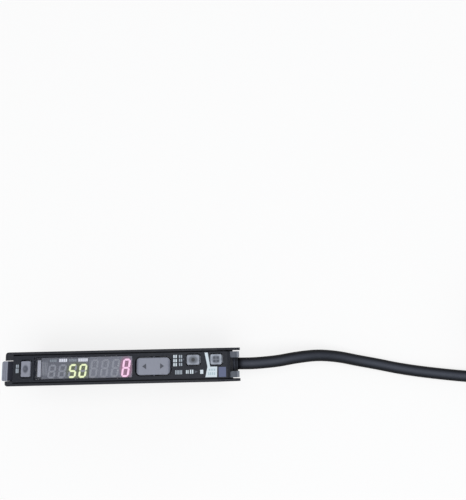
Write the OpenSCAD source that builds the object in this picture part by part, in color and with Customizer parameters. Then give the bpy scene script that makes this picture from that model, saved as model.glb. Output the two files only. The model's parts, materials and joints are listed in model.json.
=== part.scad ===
// Fibre optic sensor amplifier for a 35 mm mounting rail.
// X runs along the unit, from the fibre end at -X to the cable end at +X.
// Z is up out of the display face, and the unit stands on z = 0.

/* [Body] */
// Width across the two side faces
body_w = 9.8; // [9.7:0.1:11]
// Height of the flat face above the base
face_h = 30; // [29.5:0.5:34]
// Length of the case between its front and rear faces
case_l = 67.2; // [67:0.2:72]
// Thickness of the two side plates
side_wall = 0.75; // [0.65:0.05:0.8]
// Thickness of the end walls and floors
end_wall = 1.2; // [1:0.05:1.3]
// Drop from the face to the rim of the side plates
rim_drop = 0.6; // [0.4:0.1:0.9]
// Radius of the rim's front corner
rim_r = 1; // [0.6:0.1:1.6]
// Radius of the upright corners at the front end
front_r = 1.2; // [0.6:0.1:1.4]
// Length over which the rim falls towards the cable end
rim_run = 4.6; // [3.5:0.1:5.5]
// Depth of the shallow panel in each side face
side_relief = 0.2; // [0.1:0.05:0.3]

/* [Mounting rail] */
// Width of the rail across its flanges
rail_w = 35; // [34.5:0.1:35.5]
// Clearance at each flange edge
rail_gap = 0.3; // [0.2:0.05:0.5]
// Depth of the rail slot from the base to its seat
rail_depth = 5.2; // [5:0.1:6]
// Height of the slot that takes a flange
flange_slot = 1.5; // [1.3:0.1:1.8]
// Reach of the fixed hook and of the latch under the flanges
hook_reach = 1.3; // [1:0.1:1.5]
// Distance from the front face to the rail slot
rail_from_front = 16.8; // [16.4:0.1:17.4]
// Width of the latch's nose
latch_w = 5.8; // [4:0.2:6.4]
// Travel of the latch
latch_travel = 1.5; // [1.2:0.1:1.6]

/* [Face panel] */
// Width of the raised face
face_w = 7.6; // [7.5:0.05:7.8]
// Thickness of the face plate
panel_t = 1.6; // [1.5:0.05:1.8]
// Thickness of the panel's side skirts
skirt_t = 0.5; // [0.35:0.05:0.5]
// Space between the face plate and the board below it
board_gap = 2.8; // [2.7:0.1:3.4]
// Length of the slope down to the hinge ears
tail_run = 1.6; // [1.4:0.1:1.8]
// Drop from the face to the top of the hinge ears
ear_drop = 2.4; // [2:0.1:3]
// Height of the hinge ears
ear_h = 3.4; // [3:0.1:3.8]
// Reach of the hinge lugs past the rear face
ear_reach = 2.2; // [1.8:0.1:2.8]
// Gap between the two hinge ears
ear_gap = 4; // [3.4:0.1:4.2]
// Radius of the hinge bores that take a dust cover
ear_bore_r = 0.6; // [0.4:0.05:0.9]

/* [Display] */
// Length of the display window
window_l = 28.8; // [28.6:0.1:29]
// Width of the display window
window_w = 6.5; // [6.3:0.05:6.5]
// Thickness of the display window
window_t = 1; // [0.8:0.05:1.1]
// Centre of the window from the front end of the face
window_at = 20.56; // [20.4:0.02:20.7]
// Number shown by the green digits
green_reading = 50; // [0:1:9999]
// Number shown by the red digits
red_reading = 8; // [0:1:9999]
// Height of a green digit
green_h = 4; // [3.4:0.1:4.2]
// Height of a red digit
red_h = 5.3; // [4.5:0.1:5.5]
// Width of a digit
digit_w = 2.25; // [1.8:0.05:2.4]
// Width of a digit's strokes
stroke = 0.56; // [0.3:0.02:0.6]
// Slant of the digits in degrees
digit_slant = 8; // [0:1:10]

/* [Keys] */
// Length of the set key
set_l = 2.8; // [2.6:0.05:2.9]
// Width of the set key
set_w = 4.6; // [4:0.1:4.8]
// Centre of the set key from the front end of the face
set_at = 3.85; // [3.7:0.05:4]
// Length of the adjust rocker
rocker_l = 9.9; // [9.4:0.1:10]
// Width of the adjust rocker
rocker_w = 5; // [4.6:0.1:5.1]
// Centre of the rocker from the front end of the face
rocker_at = 41.1; // [40.9:0.05:41.6]
// Length of the mode key
mode_l = 3.7; // [3.4:0.1:3.8]
// Width of the mode key
mode_w = 2.9; // [2.6:0.1:3]
// Centre of the mode key from the front end of the face
mode_at = 52.8; // [52:0.1:53.4]
// Length of the preset key
preset_l = 3.3; // [3:0.1:3.4]
// Width of the preset key
preset_w = 3; // [2.8:0.05:3.05]
// Centre of the preset key from the front end of the face
preset_at = 59.5; // [58.8:0.05:59.6]
// Offset of the mode and preset keys from the centreline
key_y = 1.6; // [1.2:0.05:1.6]
// Height of the keys above the face
key_proud = 0.6; // [0.4:0.05:0.9]
// Clearance round each key
key_gap = 0.36; // [0.2:0.02:0.38]
// Travel of a key
key_travel = 0.3; // [0.2:0.05:0.4]

/* [Fibre end] */
// Radius of the two fibre bores
bore_r = 1.15; // [1.05:0.05:1.3]
// Distance between the fibre bores
bore_pitch = 5; // [4.6:0.1:5.4]
// Length of the fibre block behind the front wall
block_l = 14.8; // [14:0.2:15.2]
// Width of the lock lever
lever_w = 5.7; // [5:0.1:5.8]
// Offset of the lever from the centreline
lever_y = -0.5; // [-0.5:0.1:0]
// How far the lever stands out of the front face
lever_proud = 0.6; // [0.4:0.1:1]
// Radius of the lever's pin
pin_r = 0.75; // [0.6:0.05:0.9]
// Rise of the fibre clamp when the lever opens
clamp_rise = 0.45; // [0.3:0.05:0.6]

/* [Cable] */
// Diameter of the cable
cord_d = 3.8; // [3.4:0.1:3.9]
// Height of the cable's exit above the base
cord_z = 12.5; // [11.5:0.1:14]

/* [Hidden] */
$fn = 48;

// Clearance of pieces that are fitted by hand
fit = 0.05;
// Clearance of pieces that slide or turn
slack = 0.1;
// Overlap that makes a cut or a join clean
eps = 0.1;

// Lengths along the unit, with the middle of the whole at x = 0
lever_bay = 2.8;
cheek_gap = 0.2;
whole_l = lever_proud + case_l + ear_reach;
x_front = lever_proud - whole_l / 2;
x_rear = x_front + case_l;
x_face = x_front + lever_bay;
x_bend = x_rear - tail_run;
x_tail = x_rear - 0.8;
tail_x0 = x_bend + 0.3;
board_x0 = x_face + 1.2;
board_x1 = x_bend - slack;
flange_x0 = x_face + 1.4;
flange_x1 = x_bend - 0.5;
ledge_lead = 0.2;
panel_wall = 0.6;
ear_root = 0.8;
rail_x0 = x_front + rail_from_front;
rail_x1 = rail_x0 + rail_w + 2 * rail_gap;

// Widths, as half widths from the centreline
half_w = body_w / 2;
inner_y = half_w - side_wall;
face_y = face_w / 2;
relief_margin = 6;
board_inset = 0.2;
cavity_y = face_y - skirt_t;
flange_y = inner_y - fit;

// Heights above the base
seat_z = rail_depth;
floor_z = seat_z + end_wall;
hook_z = seat_z - flange_slot;
rim_z = face_h - rim_drop;
plate_z = face_h - panel_t;
board_top = plate_z - board_gap;
board_t = 0.8;
board_z = board_top - board_t;
ledge_t = 0.8;
flange_t = 0.8;
flange_z = board_top + ledge_t + 0.3;
ear_top = face_h - ear_drop;
ear_z = ear_top - ear_h;
// The side plates carry a round lug beside each hinge ear
lug_margin = 0.25;
lug_r = ear_h / 2 + lug_margin;
hinge_x = x_rear + ear_reach - lug_r;
hinge_z = ear_z + ear_h / 2;
foot_r = 0.8;
hook_slope = 1;
rib_h = 1.6;

// Display
window_sink = 0.05;
window_lip = 0.15;
window_r = 0.3;
guide_gap = 0.5;
guide_slit = 0.2;
window_air = 0.15;
window_z = face_h - window_sink - window_t;
window_x = x_face + window_at;
segment_t = 0.1;
segment_z = window_z - window_air - segment_t;
display_y = window_w / 2 - window_lip - fit;
display_x0 = window_x - window_l / 2 + window_lip + guide_gap;
display_x1 = window_x + window_l / 2 - window_lip - slack;
guide_l = 0.95;
guide_w = 4.8;
green_x0 = display_x0 + guide_l + guide_slit;
red_at = 21.95;
red_x0 = x_face + red_at;
digit_count = 4;
// Distances from the ends of a group to the middles of its outer digits
green_margins = [3.1, 1.8];
red_margins = [1.5, 1.85];
green_first = green_x0 + green_margins[0];
green_pitch = (red_x0 - green_margins[1] - green_first) / (digit_count - 1);
red_first = red_x0 + red_margins[0];
red_pitch = (display_x1 - red_margins[1] - red_first) / (digit_count - 1);
green_y = -0.9;
red_y = -0.3;
bar_count = 4;
bar_w = 0.22;
bar_pitch = 0.46;
// Strokes a to g of the digits 0 to 9, and of a blank
strokes_of = [
  "1111110", "0110000", "1101101", "1111001", "0110011",
  "1011011", "1011111", "1110000", "1111111", "1111011", "0000000"
];

// Keys, with tabs under the face plate that keep them in
tab_t = 0.5;
tab_catch = 0.3;
tab_reach = key_gap + tab_catch;
tab_inset = 0.4;
tab_z = plate_z - 0.03 - tab_t;
key_top = face_h + key_proud;
key_edge = 0.3;
key_corner = 0.5;
key_frame = 0.7;
dimple_r = 1.35;
dimple_depth = 0.25;
mode_mark_r = 0.55;
set_size = [set_l, set_w];
rocker_size = [rocker_l, rocker_w];
mode_size = [mode_l, mode_w];
preset_size = [preset_l, preset_w];
rocker_corner = 1.3;
rocker_end_r = 0.9;
rocker_side_r = 0.35;
set_x = x_face + set_at;
rocker_x = x_face + rocker_at;
mode_x = x_face + mode_at;
preset_x = x_face + preset_at;
switch_w = 2.4;
switch_t = 1.2;
plunger_r = 0.55;
plunger_z = tab_z - key_travel - 0.05;
rocker_tilt = 3;
rocker_axis_z = plate_z - 0.6;
rocker_z = rocker_axis_z - 0.05;
rocker_gap = 0.42;
trunnion_r = 0.5;
saddle_l = 2.2;
saddle_drop = 0.4;
rocker_switch_at = 3.3;
arrow_at = 2.6;
arrow_l = 1.2;
arrow_w = 1.68;
mark_depth = 0.12;
rocker_plunger_z = rocker_z - (rocker_switch_at + plunger_r) * sin(rocker_tilt) - 0.08;

// Fibre end
bore_rise = 3;
bore_low = floor_z + bore_rise;
bore_high = bore_low + bore_pitch;
block_x0 = x_front + end_wall;
block_x1 = block_x0 + block_l;
block_y = 3.2;
bore_margin = 3.2;
block_top = bore_high + bore_margin;
nose_y = 2.5;
nose_h = 1.9;
nose_x = x_front + 0.2;
cone_l = 0.6;
cone_lip = 0.4;
cell_l = 4;
cell_r = 1.6;
collar_l = 0.6;
collar_lip = 0.3;
lead_w = 0.4;
lead_pitch = 1.4;
lens_r = 1;
lens_l = 0.8;
pivot_x = x_front + 1.8;
pivot_z = block_top + 2.8;
boss_r = 1.5;
pin_cover = 0.25;
pin_fit = 0.03;
bay_z = pivot_z - boss_r - 0.7;
ear_y1 = lever_y + lever_w / 2 + 0.15;
ear_y0 = lever_y - lever_w / 2 - 0.15;
tip_x = x_front - lever_proud;
head_top = face_h - 0.3;
head_h = 3.1;
head_flat = 1.8;
head_gap = 0.4;
head_edge = 0.4;
head_corner = 0.7;
neck_slope = 0.6;
arm_back = 0.4;
groove_at = 0.65;
groove_w = 0.25;
groove_depth = 0.15;
cam = [2.3, -1.9];
cam_r = 0.5;
cam_root = 1.2;
cam_w = 3;
clamp_x = pivot_x + cam[0];
clamp_t = 1.6;
clamp_y = 2.2;
clamp_top = pivot_z + cam[1] - cam_r - slack;
clamp_z = bore_low - 2;

// Boards and what stands on them
main_y = -1.5;
main_t = 1;
main_x0 = block_x1 + 2;
board_margin = 3.2;
main_x1 = x_rear - board_margin;
port_from_rear = 24.8;
port_x = x_rear - port_from_rear;
port_l = 8;
port_h = 4.4;
port_rise = 6;
port_z = floor_z + port_rise;
port_sink = 0.3;
contact_count = 5;
contact_slot = [0.7, 3, 2.6];
signal_chip_w = 6;
driver_chip_w = 3.5;
chip_t = 1;
chip_gap = 1;
can_r = 2;
can_l = 4;
signal_inset = 7.4;
signal_chip_at = [main_x0 + signal_inset, port_z];
driver_chip_at = [port_x + port_l + chip_gap, port_z + chip_gap];
can_at = [driver_chip_at[0] + driver_chip_w + chip_gap + can_r, port_z + port_h];

// Latch, which slides in the rear foot
latch_x0 = rail_x1 + end_wall + slack;
latch_l = 5;
latch_y = inner_y - 0.25;
nose_t = 1.8;
nose_slope = 0.6;
arm_y = 1.2;
arm_t = 1.2;
arm_z = end_wall + slack;
arm_out = latch_travel - slack;
spring_x0 = latch_x0 + latch_l;
spring_x1 = x_rear - end_wall;
spring_z = (arm_z + arm_t + seat_z) / 2;
spring_r = 0.85;
wire_r = 0.17;
spring_turns = 7;

// Cable, with its moulded bush in the rear wall
bush_r = 2.6;
bush_flange_r = 3.2;
bush_out = 1.7;
collar_t = 1;
bush_edge = 0.2;
nose_wall = 0.5;
cord_r = cord_d / 2;
cord_x = x_rear + bush_out;
lay = cord_r;
route = [
  [cord_x, 0, cord_z], [40, 0, cord_z], [47, 0.5, 12], [54, 1.5, 10.4], [61, 2, 8], [68, 1.4, 5.4],
  [75, 0, 3.4], [82, -1.4, 2.4], [89, -2.9, lay], [96, -4.1, lay], [104, -5.2, lay], [112, -6.1, lay],
  [120, -6.7, lay], [128, -7, lay], [136, -7, lay]
];
cord_sides = 8;

// Hank of the rest of the cable: two rows of turns round a long loop, wound up and down again
hank_x0 = 136;
hank_run = 58;
hank_y = 8.8;
hank_r_out = 15.8;
hank_r_in = hank_r_out - cord_d;
hank_h = 21.4;
tie_t = 0.5;
tie_w = 4;

// Bare ends of the four cores, lying inside the hank
core_r = 0.6;
core_x = 160;
core_pitch = 1.5;
core_l = 26;
tip_l = 6;
tip_r = 0.35;
core_y = hank_y - hank_r_in + cord_r + 1.2;

// A box from its ranges along X, Y and Z
module slab(x, y, z) {
  translate([x[0], y[0], z[0]])
    cube([x[1] - x[0], y[1] - y[0], z[1] - z[0]]);
}

// A drawing in X and Z carried along Y
module along_y(y) {
  translate([0, y[1], 0])
    rotate([90, 0, 0])
      linear_extrude(y[1] - y[0])
        children();
}

// A round bar along X
module rod_x(x, y, z, r) {
  translate([x[0], y, z])
    rotate([0, 90, 0])
      cylinder(r = r, h = x[1] - x[0]);
}

// A round bar along Y
module rod_y(x, y, z, r) {
  translate([x, y[1], z])
    rotate([90, 0, 0])
      cylinder(r = r, h = y[1] - y[0]);
}

// A rectangle with round corners about the origin
module rounded(size, r) {
  square([size[0] - 2 * r, size[1]], center = true);
  square([size[0], size[1] - 2 * r], center = true);
  for (x = [-1, 1], y = [-1, 1])
    translate([x * (size[0] / 2 - r), y * (size[1] / 2 - r)])
      circle(r);
}

// A flat rectangle from its ranges
module patch(x, z) {
  translate([x[0], z[0]])
    square([x[1] - x[0], z[1] - z[0]]);
}

// What a round of radius r takes off the corner at a point, with the solid towards side
module corner(at, side, r) {
  difference() {
    translate([at[0] + side[0] * (r - eps) / 2, at[1] + side[1] * (r - eps) / 2])
      square(r + eps, center = true);
    translate([at[0] + side[0] * r, at[1] + side[1] * r])
      circle(r);
  }
}

// The slot for the rail: a mouth between the hooks and a wider seat for the flanges
module rail_slot() {
  patch([rail_x0, rail_x1], [hook_z, seat_z]);
  patch([rail_x0 + hook_reach, rail_x1], [-eps, hook_z + eps]);
  polygon([
    [rail_x0, -eps], [rail_x0 + hook_reach + eps, -eps],
    [rail_x0 + hook_reach + eps, hook_z - hook_slope],
    [rail_x0 + hook_reach, hook_z - hook_slope]
  ]);
}

// Outline of the case seen from the side
module case_outline() {
  difference() {
    polygon([
      [x_front, 0], [x_rear, 0], [x_rear, hinge_z + lug_r], [x_rear - rim_run, rim_z], [x_front, rim_z]
    ]);
    corner([x_front, rim_z], [1, -1], rim_r);
    corner([x_front, 0], [1, 1], foot_r);
    corner([x_rear, 0], [-1, 1], foot_r);
    rail_slot();
  }
}

// Outline of a side plate, with its hinge lug
module plate_outline() {
  case_outline();
  patch([x_rear - eps, hinge_x], [hinge_z - lug_r, hinge_z + lug_r]);
  translate([hinge_x, hinge_z])
    circle(lug_r);
}

// Bore for the dust cover's pivots
module hinge_bore(y) {
  rod_y(hinge_x, [y[0] - eps, y[1] + eps], hinge_z, ear_bore_r);
}

// The tray's walls: the outline without the hollows moulded into it
module tray_walls() {
  difference() {
    case_outline();
    patch([x_front + end_wall, x_rear - end_wall], [floor_z, face_h]);
    patch([x_front + end_wall, rail_x0 - end_wall], [end_wall, seat_z]);
    patch([rail_x1 + end_wall, x_rear - end_wall], [end_wall, seat_z]);
  }
}

// What an upright corner at the front end loses to its radius
module front_corner(side) {
  translate([0, 0, -eps])
    linear_extrude(face_h + 2 * eps)
      corner([x_front, side * half_w], [1, -side], front_r);
}

// One cheek beside the lever, which holds its pin
module lever_cheek(y) {
  along_y(y)
    intersection() {
      case_outline();
      patch([x_front, x_face - cheek_gap], [bay_z, rim_z]);
    }
}

// The ledge that carries the face panel's flange
module panel_ledge(y) {
  slab([flange_x0 - ledge_lead, flange_x1 - ledge_lead], y, [flange_z - ledge_t, flange_z]);
}

// Shallow panel sunk into a side face, from the face inwards
module side_panel(y) {
  along_y(y)
    translate([(x_front + x_rear) / 2, (floor_z + board_z) / 2])
      rounded([case_l - 2 * relief_margin, board_z - floor_z - relief_margin / 2], relief_margin / 3);
}

// Opening for an expansion connector
module port_window(y) {
  slab([port_x - fit, port_x + port_l + fit], y, [port_z - fit, port_z + port_h + fit]);
}

module case_shell() {
  color("#2b2d33")
    difference() {
      union() {
        along_y([-inner_y, inner_y + eps])
          tray_walls();
        along_y([inner_y, half_w])
          plate_outline();
        lever_cheek([ear_y1, inner_y]);
        panel_ledge([face_y + fit, inner_y]);
        slab([x_face + cheek_gap, board_x0 - cheek_gap], [-inner_y, inner_y],
          [board_z - rib_h, board_top - fit]);
      }
      // Lever bay, open at the front and the top
      slab([x_front - eps, x_front + end_wall + eps], [-inner_y - eps, ear_y1], [bay_z, face_h]);
      // The rear wall ends under the hinge ears
      slab([x_rear - end_wall - eps, x_rear + eps], [-inner_y - eps, inner_y], [ear_z, face_h]);
      // Window for the fibre block's nose
      slab([x_front - eps, block_x0 + eps], [-nose_y - fit, nose_y + fit],
        [bore_low - nose_h - fit, bore_high + nose_h + fit]);
      // Hole for the cable bush
      rod_x([x_rear - end_wall - eps, x_rear + eps], 0, cord_z, bush_r + fit);
      // Ways for the latch's nose and its release arm
      slab([rail_x1 - eps, rail_x1 + end_wall + eps], [-latch_w / 2 - slack, latch_w / 2 + slack],
        [hook_z - nose_t - slack, hook_z + slack]);
      slab([x_rear - end_wall - eps, x_rear + eps], [-arm_y - slack, arm_y + slack],
        [arm_z - slack, arm_z + arm_t + slack]);
      rod_y(pivot_x, [ear_y1 - eps, half_w - pin_cover], pivot_z, pin_r + pin_fit);
      side_panel([half_w - side_relief, half_w + eps]);
      port_window([inner_y - eps, half_w + eps]);
      hinge_bore([inner_y, half_w]);
      front_corner(1);
      front_corner(-1);
    }
}

module side_cover() {
  color("#292b31")
    difference() {
      union() {
        along_y([-half_w, -inner_y])
          plate_outline();
        lever_cheek([-inner_y - eps, ear_y0]);
        panel_ledge([-inner_y - eps, -face_y - fit]);
      }
      rod_y(pivot_x, [-half_w + pin_cover, ear_y0 + eps], pivot_z, pin_r + pin_fit);
      side_panel([-half_w - eps, -half_w + side_relief]);
      port_window([-half_w - eps, -inner_y + eps]);
      hinge_bore([-half_w, -inner_y]);
      front_corner(-1);
    }
}

// Outline of the face panel seen from the side: a flat plate and a slope at the cable end
module panel_outline() {
  polygon([
    [x_face, board_top], [x_face, face_h], [x_bend, face_h],
    [x_tail, face_h - ear_drop * (x_tail - x_bend) / tail_run], [x_tail, ear_z],
    [tail_x0, ear_z], [tail_x0, board_top]
  ]);
}

// Outline of a hinge ear, round at its end
module ear_outline() {
  patch([x_tail - ear_root, hinge_x], [ear_z, ear_top]);
  translate([hinge_x, hinge_z])
    circle(ear_h / 2);
}

// Hole in the face plate for a key
module key_hole(x, y, size, corner_r) {
  translate([x, y, plate_z - eps])
    linear_extrude(panel_t + 2 * eps)
      rounded([size[0] + 2 * key_gap, size[1] + 2 * key_gap], corner_r + key_gap);
}

// Saddle that holds one of the rocker's trunnions down from above
module rocker_saddle(y) {
  difference() {
    slab([rocker_x - saddle_l / 2, rocker_x + saddle_l / 2], y, [rocker_axis_z - saddle_drop, plate_z + eps]);
    rod_y(rocker_x, [y[0] - eps, y[1] + eps], rocker_axis_z, trunnion_r + fit);
    slab([rocker_x - trunnion_r - fit, rocker_x + trunnion_r + fit], [y[0] - eps, y[1] + eps],
      [rocker_axis_z - saddle_l, rocker_axis_z]);
  }
}

module face_panel() {
  window_hole = [window_l + 2 * fit, window_w + 2 * fit];
  saddle_y = rocker_size[1] / 2 + slack;
  color("#3b3d45")
    difference() {
      union() {
        difference() {
          union() {
            along_y([-face_y, face_y])
              panel_outline();
            slab([flange_x0, flange_x1], [-flange_y, flange_y], [flange_z, flange_z + flange_t]);
          }
          slab([x_face + panel_wall, tail_x0 + eps], [-cavity_y, cavity_y], [board_top - eps, plate_z]);
        }
        for (side = [-1, 1])
          along_y(side > 0 ? [ear_gap / 2, face_y] : [-face_y, -ear_gap / 2])
            ear_outline();
        rocker_saddle([saddle_y, cavity_y + eps]);
        rocker_saddle([-cavity_y - eps, -saddle_y]);
      }
      key_hole(set_x, 0, set_size, key_corner);
      key_hole(rocker_x, 0, rocker_size + [2 * (rocker_gap - key_gap), 0], rocker_corner);
      key_hole(mode_x, key_y, mode_size, key_corner);
      key_hole(preset_x, key_y, preset_size, key_corner);
      // Rebate for the window, and the opening under it
      translate([window_x, 0, window_z])
        linear_extrude(window_t + 1)
          rounded(window_hole, window_r);
      translate([window_x, 0, plate_z - eps])
        linear_extrude(panel_t)
          rounded(window_hole - 2 * [window_lip + fit, window_lip + fit], window_r);
      hinge_bore([-face_y, face_y]);
    }
}

module display_window() {
  color("#6b6c78", 0.5)
    translate([window_x, 0, window_z])
      linear_extrude(window_t)
        rounded([window_l, window_w], window_r);
}

module light_guide() {
  color("#9da0ad")
    slab([display_x0, display_x0 + guide_l], [-guide_w / 2, guide_w / 2],
      [board_top, segment_z + segment_t]);
}

module green_display() {
  color("#4d4e58")
    slab([green_x0, red_x0 - slack], [-display_y, display_y], [board_top, segment_z]);
}

module red_display() {
  color("#4d4e58")
    slab([red_x0, display_x1], [-display_y, display_y], [board_top, segment_z]);
}

// Corners of one stroke of a digit: a bar with pointed ends
function stroke_corners(l) =
  let (e = l / 2, t = stroke / 2)
    [[-e, 0], [-e + t, -t], [e - t, -t], [e, 0], [e - t, t], [-e + t, t]];

// A point of an upright digit, moved over by the slant
function slanted(p) = [p[0] + p[1] * tan(digit_slant), p[1]];

// The strokes of one digit that a pattern asks for, where lit is "1" or "0"
module digit_strokes(h, pattern, lit) {
  w = digit_w - stroke;
  u = (h - stroke) / 2;
  slit = 0.08;
  // Place of each stroke, a to g, and which of them stand upright
  places = [[0, u], [w / 2, u / 2], [w / 2, -u / 2], [0, -u], [-w / 2, -u / 2], [-w / 2, u / 2], [0, 0]];
  upright = [false, true, true, false, true, true, false];
  for (i = [0 : 6])
    if (pattern[i] == lit)
      polygon([
        for (c = stroke_corners((upright[i] ? u : w) - slit))
          slanted(places[i] + (upright[i] ? [-c[1], c[0]] : c))
      ]);
}

// Pattern of the digit at a place of a reading, blank before its first digit
function pattern_at(reading, place) =
  place > 0 && reading < pow(10, place) ? strokes_of[10] : strokes_of[floor(reading / pow(10, place)) % 10];

// A group of digits in a row, with the first one at the left
module digit_row(first, pitch, y, h, reading, lit) {
  translate([0, 0, segment_z])
    linear_extrude(segment_t)
      for (i = [0 : digit_count - 1])
        translate([first + i * pitch, y])
          digit_strokes(h, pattern_at(reading, digit_count - 1 - i), lit);
}

module green_segments() {
  color("#d9f77c")
    digit_row(green_first, green_pitch, green_y, green_h, green_reading, "1");
}

module red_segments() {
  color("#ff7f9c")
    digit_row(red_first, red_pitch, red_y, red_h, red_reading, "1");
}

// Bars of the level meter between the light guide and the digits
module level_bars() {
  for (i = [0 : bar_count - 1])
    translate([green_x0 + bar_pitch * (i + 0.5), 0, segment_z + segment_t / 2])
      cube([bar_w, green_h, segment_t], center = true);
}

module unlit_segments() {
  color("#8b8d99") {
    level_bars();
    digit_row(green_first, green_pitch, green_y, green_h, green_reading, "0");
    digit_row(red_first, red_pitch, red_y, red_h, red_reading, "0");
  }
}

// A bar profile with its two upper corners round, standing on z0
module soft_top(l, z0, z1, r) {
  patch([-l / 2, l / 2], [z0, z1 - r]);
  patch([-l / 2 + r, l / 2 - r], [z0, z1]);
  for (x = [-1, 1])
    translate([x * (l / 2 - r), z1 - r])
      circle(r);
}

// A key's cap about the origin, round at its corners and along its upper edges
module key_cap(size, z0, corner_r, end_r, side_r) {
  intersection() {
    translate([0, 0, z0])
      linear_extrude(key_top - z0)
        rounded(size, corner_r);
    along_y([-size[1], size[1]])
      soft_top(size[0], z0, key_top, end_r);
    rotate([0, 0, 90])
      along_y([-size[0], size[0]])
        soft_top(size[1], z0, key_top, side_r);
  }
}

// A push key with its two tabs under the plate
module push_key(size) {
  key_cap(size, tab_z, key_corner, key_edge, key_edge);
  tab_x = size[0] / 2 + tab_reach;
  tab_y = size[1] / 2 - tab_inset;
  slab([-tab_x, tab_x], [-tab_y, tab_y], [tab_z, tab_z + tab_t]);
}

module set_button() {
  color("#9a9ca7")
    translate([set_x, 0, 0])
      difference() {
        push_key(set_size);
        translate([0, 0, key_top + dimple_r - dimple_depth])
          sphere(dimple_r);
      }
}

module mode_button() {
  color("#9a9ca7")
    translate([mode_x, key_y, 0])
      difference() {
        push_key(mode_size);
        translate([0, 0, key_top - mark_depth])
          cylinder(r = mode_mark_r, h = 1);
      }
}

module preset_button() {
  color("#9a9ca7")
    translate([preset_x, key_y, 0])
      difference() {
        push_key(preset_size);
        translate([0, 0, key_top - mark_depth])
          linear_extrude(1)
            square(preset_size[0] - 2 * key_frame, center = true);
      }
}

module adjust_rocker() {
  color("#9a9ca7")
    translate([rocker_x, 0, 0])
      difference() {
        union() {
          key_cap(rocker_size, rocker_z, rocker_corner, rocker_end_r, rocker_side_r);
          rod_y(0, [-cavity_y + slack, cavity_y - slack], rocker_axis_z, trunnion_r);
        }
        // Arrow marks sunk into both ends
        for (side = [-1, 1])
          translate([side * arrow_at, 0, key_top - mark_depth])
            linear_extrude(1)
              polygon(side / 2 * [[arrow_l, 0], [-arrow_l, arrow_w], [-arrow_l, -arrow_w]]);
      }
}

// A small push switch on the display board
module push_switch(x, y, top) {
  color("#1f2024")
    translate([x, y, board_top]) {
      translate([0, 0, switch_t / 2])
        cube([switch_w, switch_w, switch_t], center = true);
      cylinder(r = plunger_r, h = top - board_top);
    }
}

module set_switch() {
  push_switch(set_x, 0, plunger_z);
}

module mode_switch() {
  push_switch(mode_x, key_y, plunger_z);
}

module preset_switch() {
  push_switch(preset_x, key_y, plunger_z);
}

module rocker_switch_front() {
  push_switch(rocker_x - rocker_switch_at, 0, rocker_plunger_z);
}

module rocker_switch_rear() {
  push_switch(rocker_x + rocker_switch_at, 0, rocker_plunger_z);
}

module display_board() {
  color("#1f4d38")
    slab([board_x0, board_x1], [-face_y + board_inset, face_y - board_inset], [board_z, board_top]);
}

module main_board() {
  color("#1f4d38")
    slab([main_x0, main_x1], [main_y - main_t / 2, main_y + main_t / 2], [floor_z, board_z]);
}

// A square chip on the main board's inner side, with its lower front corner at a place in X and Z
module chip(at, w) {
  translate([at[0], main_y + main_t / 2, at[1]])
    cube([w, chip_t, w]);
}

module signal_chip() {
  color("#17181b")
    chip(signal_chip_at, signal_chip_w);
}

module driver_chip() {
  color("#17181b")
    chip(driver_chip_at, driver_chip_w);
}

module filter_capacitor() {
  color("#77797f")
    rod_y(can_at[0], [main_y + main_t / 2, main_y + main_t / 2 + can_l], can_at[1], can_r);
}

// A connector block from the board to just under a side face, with its contact slots
module port_block(y, mouth) {
  difference() {
    slab([port_x, port_x + port_l], y, [port_z, port_z + port_h]);
    for (i = [0 : contact_count - 1])
      translate([port_x + port_l * (i + 0.5) / contact_count, mouth, port_z + port_h / 2])
        cube(contact_slot, center = true);
  }
}

module expansion_socket() {
  color("#1d1e22")
    port_block([main_y + main_t / 2, half_w - port_sink], half_w - port_sink);
}

module expansion_plug() {
  color("#1d1e22")
    port_block([port_sink - half_w, main_y - main_t / 2], port_sink - half_w);
}

// Outline of the lock lever: an arm up from its boss and a head with a finger slope
module lever_outline() {
  head_z = head_top - head_h;
  back_x = x_face - head_gap;
  arm_x0 = pivot_x - boss_r;
  arm_x1 = pivot_x + arm_back;
  r = head_edge;
  polygon([
    [arm_x0, pivot_z], [arm_x0, head_z - neck_slope / 2], [tip_x, head_z + neck_slope],
    [tip_x, head_top - r], [tip_x + r, head_top], [tip_x + head_flat, head_top],
    [back_x, head_z + r], [back_x, head_z], [arm_x1, head_z - neck_slope / 2], [arm_x1, pivot_z]
  ]);
  translate([tip_x + r, head_top - r])
    circle(r);
}

// Outline of the cam that presses the clamp down
module cam_outline() {
  reach = norm(cam);
  across = [-cam[1], cam[0]] / reach;
  polygon([
    [pivot_x, pivot_z] + cam_root * across, [pivot_x, pivot_z] + cam + cam_r * across,
    [pivot_x, pivot_z] + cam - cam_r * across, [pivot_x, pivot_z] - cam_root * across
  ]);
  translate([pivot_x, pivot_z] + cam)
    circle(cam_r);
}

module lock_lever() {
  y = [lever_y - lever_w / 2, lever_y + lever_w / 2];
  plan_l = 8;
  color("#9a9ca7")
    difference() {
      union() {
        intersection() {
          along_y(y)
            lever_outline();
          translate([tip_x + plan_l / 2, lever_y, 0])
            linear_extrude(face_h)
              rounded([plan_l, lever_w], head_corner);
        }
        rod_y(pivot_x, y, pivot_z, boss_r);
        along_y([-cam_w / 2, cam_w / 2])
          cam_outline();
      }
      rod_y(pivot_x, [y[0] - eps, y[1] + eps], pivot_z, pin_r + 2 * pin_fit);
      // Two grip grooves across the head
      for (i = [0, 1])
        translate([2 * i * groove_w, 0, 0])
          slab([tip_x + groove_at, tip_x + groove_at + groove_w], [y[0] - eps, y[1] + eps],
            [head_top - groove_depth, face_h]);
    }
}

module lever_pin() {
  color("#b9bcc2")
    rod_y(pivot_x, [-half_w + pin_cover + fit, half_w - pin_cover - fit], pivot_z, pin_r);
}

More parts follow.
